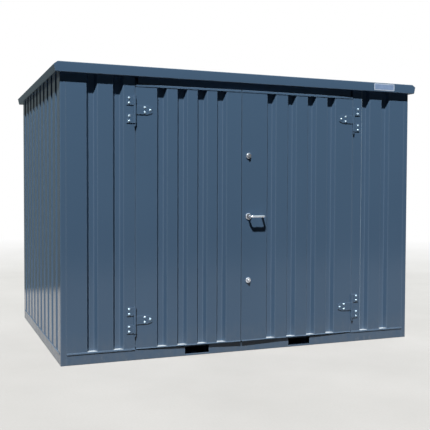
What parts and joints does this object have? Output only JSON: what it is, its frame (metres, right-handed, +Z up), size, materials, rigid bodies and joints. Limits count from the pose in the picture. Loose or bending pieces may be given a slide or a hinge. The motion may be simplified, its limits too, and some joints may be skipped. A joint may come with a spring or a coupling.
{
  "type": "steel storage container",
  "caption": "Hollow steel storage container: ribbed walls and roof, base frame with fork pockets, and two outward-opening leaves on strap hinges with a lever handle and locks.",
  "frame": {"origin": "middle of the footprint, on the ground, under the middle floor bearer", "axes": "+X along the front towards its right end, +Y from the front to the back, +Z up"},
  "size_m": [3.1446, 2.2898, 2.233],
  "materials": {
    "paint": "satin blue-grey paint",
    "galvanised": "galvanised steel, dull",
    "chrome": "satin chrome"
  },
  "bodies": {
    "shell": {"base_front_rail": "paint", "base_rear_rail": "paint", "base_side_rails": "paint", "fork_lips": "paint", "fork_pocket_sides": "paint", "fork_pocket_plates": "paint", "floor_bearers": "galvanised", "floor_plate": "galvanised", "post_front_left": "paint", "post_front_right": "paint", "post_rear_left": "paint", "post_rear_right": "paint", "wall_channels": "paint", "front_panel_left": "paint", "front_panel_right": "paint", "left_wall": "paint", "right_wall": "paint", "rear_wall": "paint", "jamb_left": "paint", "jamb_right": "paint", "lintel": "paint", "door_sill": "galvanised", "top_rails": "paint", "fascia_front": "paint", "fascia_rear": "paint", "fascia_left": "paint", "fascia_right": "paint", "purlins": "galvanised", "roof_sheet": "paint", "hinge_plates_left": "paint", "hinge_plates_right": "paint", "hinge_pins_left": "paint", "hinge_pins_right": "paint"},
    "left_leaf": {"left_leaf_sheet": "paint", "left_leaf_rails": "paint", "left_leaf_stiles": "paint", "left_hinge_straps": "paint"},
    "right_leaf": {"right_leaf_sheet": "paint", "right_leaf_rails": "paint", "right_leaf_stiles": "paint", "right_hinge_straps": "paint", "door_locks": "chrome", "lock_cases": "galvanised", "lever_rose": "chrome"},
    "lever": {"lever_handle": "chrome"}
  },
  "joints": [
    {"name": "left_door", "type": "hinge", "parent": "shell", "child": "left_leaf", "pos_m": [-0.963, -1.096, 1.093], "axis": [0, 0, -1], "range_deg": [-1.24, 174]},
    {"name": "right_door", "type": "hinge", "parent": "shell", "child": "right_leaf", "pos_m": [0.963, -1.096, 1.093], "axis": [0, 0, 1], "range_deg": [-1.05, 174]},
    {"name": "lever_turn", "type": "hinge", "parent": "right_leaf", "child": "lever", "pos_m": [-0.02494, -1.10311, 1.093], "axis": [-0.0183, 0.9998, 0], "range_deg": [0, 45], "stiffness_Nm_per_rad": 2, "springref_deg": -17.19}
  ]
}
